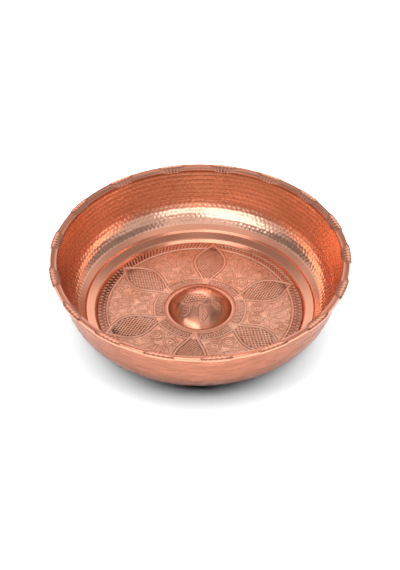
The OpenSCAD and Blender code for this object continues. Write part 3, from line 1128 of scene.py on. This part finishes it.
def petal_field(r, turn):
    """Height and darkness of the ring of petals."""
    off, between, petal, _ = on_petals(turn)
    out = petal_distance(r, off)
    line = petal_line(out)
    raised = np.maximum(line, raised_ring(r, FRET_R, out))
    raised = np.maximum(raised, raised_ring(r, BORDER_R, out))
    groove = cord_line(out - GROOVE_OUTSIDE, GROOVE_W)
    groove = groove + cord_line(out + LINE_W + GROOVE_INSIDE, GROOVE_W)
    by_ring = cord_line(BORDER_R - r - RING_GROOVE_OFF, RING_GROOVE_W) * smooth(0, 1, out)
    groove = np.maximum(np.clip(groove, 0, 1), by_ring)
    inside = smooth(*PETAL_FIELD, out)
    pits = inside * hatch(r, off, petal)
    marks = smooth(*SPANDREL_FIELD, out) * spandrel(r, between, out)
    height = RELIEF * raised - FIELD_DEPTH * np.maximum(pits, marks) - GROOVE_DEPTH * groove
    shade = ROOT_SHADE + TIP_SHADE * smooth(*TIP_FROM, r)
    dark = np.maximum(pits * np.array(HATCH_DARK)[petal] * shade, SPANDREL_DARK * marks)
    dark = np.maximum(dark, TIP_DARK * inside * smooth(*TIP_DARK_FROM, r))
    # Patina in the grooves beside the raised lines, deepened with painted shade for relief.
    dark = np.maximum(dark, GROOVE_SHADE * groove * (1 - line))
    return height, dark * (1 - raised) - raised


# %% Fret round the boss
FRET_MIDDLE = (COLLAR_R + FRET_R) / 2
FRET_START = 60
FRET_FIELD = (2.75, 2.5)
FRET_EDGE = (0.2, 0.9)
KEY_PITCH, FINE_KEY_PITCH, KEY_REACH, KEY_W = 3.2, 2.4, 1.5, 0.27
WAVE_PITCH, WAVE_REACH, WAVE_W = 3.4, 1.3, 0.9
FINE_GAP = 1
WAVED_GAPS = (2, 5)
FRET_RELIEF = 0.3
FRET_DARK, FRET_BRIGHT = 0.42, 0.6


def key_line(s, w, pitch, reach):
    """Distance to a square wave that runs along s and swings across w."""
    phase = s % pitch
    level = np.where(phase < pitch / 2, np.abs(w - reach), np.abs(w + reach))
    upright = np.minimum(np.minimum(phase, pitch - phase), np.abs(phase - pitch / 2))
    return np.where(np.abs(w) < reach, np.minimum(upright, level), level)


def wave_line(s, w, pitch, reach):
    """Distance to a sine that runs along s and swings across w."""
    phase = 2 * np.pi * s / pitch
    lean = reach * 2 * np.pi / pitch * np.cos(phase)
    return np.abs(w - reach * np.sin(phase)) / np.sqrt(1 + lean**2)


def fret_field(r, turn):
    """Height and darkness of the band between the collar and the first raised ring."""
    off, between, _, gap = on_petals(turn)
    s, w = np.radians(between) * FRET_MIDDLE + FRET_START, r - FRET_MIDDLE
    pitch = np.where(gap == FINE_GAP, FINE_KEY_PITCH, KEY_PITCH)
    key = cord_line(key_line(s, w, pitch, KEY_REACH) / pitch, KEY_W)
    wave = cord_line(wave_line(s, w, WAVE_PITCH, WAVE_REACH), WAVE_W)
    raised = np.where(np.isin(gap, WAVED_GAPS), wave, key)
    out = petal_distance(r, off)
    field = smooth(*FRET_EDGE, out) * smooth(*FRET_FIELD, np.abs(w))
    lines = np.maximum(petal_line(out), raised_ring(r, FRET_R, out))
    height = RELIEF * lines + field * (FRET_RELIEF * raised - FRET_RELIEF / 2)
    dark = field * (FRET_DARK * (1 - raised) - FRET_BRIGHT * raised)
    return height, dark - lines


# %% Patterns of the border
STROKE_W = 1.5
BAR_PITCH, BAR_LEAN = 2.5, 0.55
BONE_PITCH, BONE_LEAN, BONE_GAP = 2.6, 1.1, 0.25
PEARL_PITCH, PEARL_OFF, PEARL_W = 3.0, 1.55, 2.0
ZIGZAG_REACH, ZIGZAG_W, ZIGZAG_HEIGHT = 0.75, 0.6, 0.6


def bars(s, w):
    """Slanted bars, like a rope."""
    return cord_line(nearest_line(s + BAR_LEAN * w, BAR_PITCH), STROKE_W)


def herringbone(s, w):
    """Two rows of strokes that lean against each other."""
    strokes = cord_line(nearest_line(s + BONE_LEAN * np.abs(w), BONE_PITCH), STROKE_W)
    return strokes * (np.abs(w) > BONE_GAP)


def pearls(s, w):
    """Two rows of beads with a zigzag between them."""
    upper = np.hypot(nearest_line(s, PEARL_PITCH), w - PEARL_OFF)
    lower = np.hypot(nearest_line(s + PEARL_PITCH / 2, PEARL_PITCH), w + PEARL_OFF)
    beads = cord_line(np.minimum(upper, lower), PEARL_W)
    zigzag = w - ZIGZAG_REACH * (1 - 4 * nearest_line(s, PEARL_PITCH) / PEARL_PITCH)
    return np.maximum(beads, ZIGZAG_HEIGHT * cord_line(zigzag, ZIGZAG_W))


# %% Border inside the step
BORDERS = (herringbone, bars, pearls, bars, herringbone, pearls)
BORDER_OUTWARD = 0.3
BORDER_MIDDLE = (BORDER_R + DISC_R) / 2 + BORDER_OUTWARD
BORDER_START = 80
BORDER_FIELD = (2.7, 2.35)
BORDER_EDGE = (0.2, 1.0)
BORDER_RELIEF = 0.34
BORDER_DARK, DARKEST, BORDER_BRIGHT, LINE_BRIGHT = 0.5, 0.45, 0.6, 1.5
DARKEST_TURN = 147
DARKEST_SPAN = (45, 10)
PETAL_END_DARK = 0.35
PETAL_END_EDGE = (0.2, -1.5)
TIP_FADE = 1.5


def border_field(r, turn):
    """Height and darkness of the band between the second raised ring and the step."""
    off, between, _, gap = on_petals(turn)
    s, w = np.radians(between) * BORDER_MIDDLE + BORDER_START, r - BORDER_MIDDLE
    raised = np.zeros_like(r)
    for number, pattern in enumerate(BORDERS):
        raised = np.where(gap == number, pattern(s, w), raised)
    out = petal_distance(r, off)
    field = smooth(*BORDER_EDGE, out) * smooth(*BORDER_FIELD, np.abs(w))
    line = petal_line(out) * smooth(DISC_R, DISC_R - TIP_FADE, r)
    lines = np.maximum(line, raised_ring(r, BORDER_R, out))
    height = RELIEF * lines + field * (BORDER_RELIEF * raised - BORDER_RELIEF / 2)
    # The field is darker towards the back left, round DARKEST_TURN.
    from_darkest = np.abs((turn - DARKEST_TURN + 180) % 360 - 180)
    dark_share = BORDER_DARK + DARKEST * smooth(*DARKEST_SPAN, from_darkest)
    dark = field * (dark_share * (1 - raised) - BORDER_BRIGHT * raised)
    dark = np.maximum(dark, PETAL_END_DARK * smooth(*PETAL_END_EDGE, out))
    return height, dark - LINE_BRIGHT * lines


# %% Cut the floor in three rings
COLLAR_CLEARANCE = 0.1
DISC_HOLE_R = COLLAR_R + COLLAR_CLEARANCE
FRET_MESH = (30, 720)
PETAL_MESH = (98, 960)
BORDER_MESH = (30, 1440)


def chased_ring(name, field, inner, outer, rings, columns):
    """A ring of the floor disc: ornament on top, flat below."""
    radii = np.linspace(inner, outer, rings)
    turn = np.degrees(np.linspace(0, 2 * np.pi, columns, endpoint=False))
    r_grid, turn_grid = np.meshgrid(radii, turn, indexing="ij")
    height, dark = field(r_grid, turn_grid)
    stations = [(r, DISC_Z + row) for r, row in zip(radii, height)]
    stations += [(outer, FLOOR_Z), (inner, FLOOR_Z)]
    dark = np.vstack([np.clip(dark, -1, 1), np.zeros((2, columns))])
    return turned(name, stations, columns, chased_copper, {"recess": dark})


fret_ring = chased_ring("fret_ring", fret_field, DISC_HOLE_R, FRET_R, *FRET_MESH)
petal_ring = chased_ring("petal_ring", petal_field, FRET_R, BORDER_R, *PETAL_MESH)
border_ring = chased_ring("border_ring", border_field, BORDER_R, DISC_R, *BORDER_MESH)

# %% [markdown]
# ## The boss
# The dome is polished, with a rosette engraved on its crown: a patch of scales, with feathered
# leaves round it. A hollow dome could be a sphere with Solidify, but it is turned here like the
# floor, so that the cuts can be real. They are sunk straight down, and shallow. The dome is a
# little flatter than a sphere at its crown and its foot, and its hollow underneath is plain.

# %% Scales and leaves on the boss
PATCH_PLACE = (-3.6, -2.8)
PATCH_HALF = (8.0, 4.6)
PATCH_RIM = (0.2, -0.4)
PATCH_CLEAR = (0.6, 1.2)
PATCH_DEPTH = 1.3
NET_PITCH, NET_ROW = 2.2, 0.85
NET_PIT = (0.42, 0.24)
PIT_DARK = 1.7
BOSS_LEAVES = 7
BOSS_LEAF_TURN = 16
LEAF_ROOT_R, LEAF_LENGTH, LEAF_HALF, LEAF_BEND = 7.6, 11.2, 3.4, 1.5
LEAF_END = (19.0, 18.2)
FEATHER_PITCH, FEATHER_LEAN, FEATHER_W, FEATHER_DEPTH = 2.1, 1.1, 0.8, 0.8


def net(x, y, pitch):
    """Round pits in staggered rows, and below 0 the net of bright metal left between them."""
    row = np.round(y / (NET_ROW * pitch))
    across = nearest_line(x - 0.5 * pitch * (row % 2), pitch)
    from_pit = np.hypot(across, y - NET_ROW * pitch * row) / pitch
    return PIT_DARK * smooth(*NET_PIT, from_pit) - 1


def boss_leaf(r, turn):
    """Cuts of the nearest leaf on the dome, and how far a point lies outside its blade."""
    off, _ = off_from(turn, BOSS_LEAF_TURN, BOSS_LEAVES)
    u = r * np.cos(np.radians(off)) - LEAF_ROOT_R
    bend = np.sin(np.pi * np.clip(u / LEAF_LENGTH, 0, 1))
    v = r * np.sin(np.radians(off)) - LEAF_BEND * bend
    barbs = nearest_line(u - FEATHER_LEAN * np.abs(v), FEATHER_PITCH)
    feathers = cord_line(barbs, FEATHER_W) * (np.abs(v) < LEAF_HALF * bend)
    cuts = np.maximum(leaf(u, v, LEAF_LENGTH, LEAF_HALF), FEATHER_DEPTH * feathers)
    return cuts, np.abs(v) - LEAF_HALF * bend


# %% Engrave the dome
FOOT_DARK, FOOT_W = 1.2, 0.5
FLANK_SHADE, FLANK_ROUND = 1.1, 1.5
FLANK_FROM = (17.0, BOSS_R)
GROUND_DARK = 0.75
GROUND_FROM = (8.5, 11.0)
GROUND_END = (17.5, 14.5)
GROUND_EDGE = (-0.6, 0.2)


def engraving(r, turn):
    """Depth and darkness of the cuts and painted flank shade, seen from above. Bright lines are below 0.
    """
    x, y = flat_place(r, turn)
    across, along = (x - PATCH_PLACE[0]) / PATCH_HALF[0], (y - PATCH_PLACE[1]) / PATCH_HALF[1]
    from_patch = (np.hypot(across, along) - 1) * PATCH_HALF[1]
    patch = smooth(*PATCH_RIM, from_patch) * net(x, y, NET_PITCH)
    clear = smooth(*PATCH_CLEAR, from_patch)
    leaves, from_leaf = boss_leaf(r, turn)
    cut = PATCH_DEPTH * patch + leaves * clear * smooth(*LEAF_END, r)
    # The dome's left and right flanks are darker: painted shade.
    flank = FLANK_SHADE * smooth(*FLANK_FROM, r) * np.abs(np.cos(np.radians(turn))) ** FLANK_ROUND
    # The dome is also darker in a thin ring at its foot.
    foot = np.maximum(FOOT_DARK * smooth(BOSS_R - FOOT_W, BOSS_R, r), flank)
    ground = GROUND_DARK * smooth(*GROUND_FROM, r) * smooth(*GROUND_END, r)
    ground = ground * smooth(*GROUND_EDGE, from_leaf)
    return cut, np.maximum(np.maximum(cut, foot), ground * clear)


# %% Close the boss
BOSS_COLUMNS = 540
DOME_RINGS = 96
HOLLOW_RINGS = 16
BOSS_SWELL = 2.35
CUT_DEPTH = 0.16
COLLAR_GAP = 0.4
COLLAR_BEVEL = 0.3

dome_radii = dome_r * np.sin(np.linspace(0, math.asin(BOSS_R / dome_r), DOME_RINGS))
turn = np.degrees(np.linspace(0, 2 * np.pi, BOSS_COLUMNS, endpoint=False))
cut, dark_share = engraving(*np.meshgrid(dome_radii, turn, indexing="ij"))
cut[0] = 0
dome = []
for r, row in zip(dome_radii, cut):
    crown_z = DISC_Z + dome_rise * (1 - (r / BOSS_R) ** BOSS_SWELL)
    dome.append((r, crown_z - CUT_DEPTH * row))
collar = [
    (BOSS_R + COLLAR_GAP, DISC_Z),
    (COLLAR_R - COLLAR_BEVEL, DISC_Z),
    (COLLAR_R, DISC_Z - COLLAR_BEVEL),
    (COLLAR_R, FLOOR_Z),
]
inner_r = dome_r - SHEET
inner_slopes = np.linspace(math.asin(hollow_r / inner_r), 0, HOLLOW_RINGS)
hollow = [(inner_r * math.sin(a), dome_centre_z + inner_r * math.cos(a)) for a in inner_slopes]
plain = np.zeros((len(collar) + len(hollow), BOSS_COLUMNS))
satin = np.zeros((len(dome) + len(plain), BOSS_COLUMNS))
satin[len(dome):len(dome) + len(collar)] = 1
boss_marks = {"recess": np.vstack([dark_share, plain]), "satin": satin}
stations = dome + collar + hollow
centre_boss = turned("centre_boss", stations, BOSS_COLUMNS, polished_copper, boss_marks, poles=True)

# %% [markdown]
# ## Attach the pieces
# Every piece rides on the one body of the bowl, and hides the node of the frame that it stands for.
# The table below also lists the material slot of each piece's finish.

# %% Ride and replace
HAND_OVER = {
    bowl_wall: ("bowl_shell", "hammered_copper"),
    bowl_base: ("bowl_shell", "hammered_copper"),
    rim_band: ("rim_band", "rim_copper"),
    fret_ring: ("floor_disc", "chased_copper"),
    petal_ring: ("floor_disc", "chased_copper"),
    border_ring: ("floor_disc", "chased_copper"),
    centre_boss: ("centre_boss", "polished_copper"),
}
for piece, (node, slot) in HAND_OVER.items():
    piece.visible_diffuse = False
    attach(piece, BODY)
    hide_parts(node)
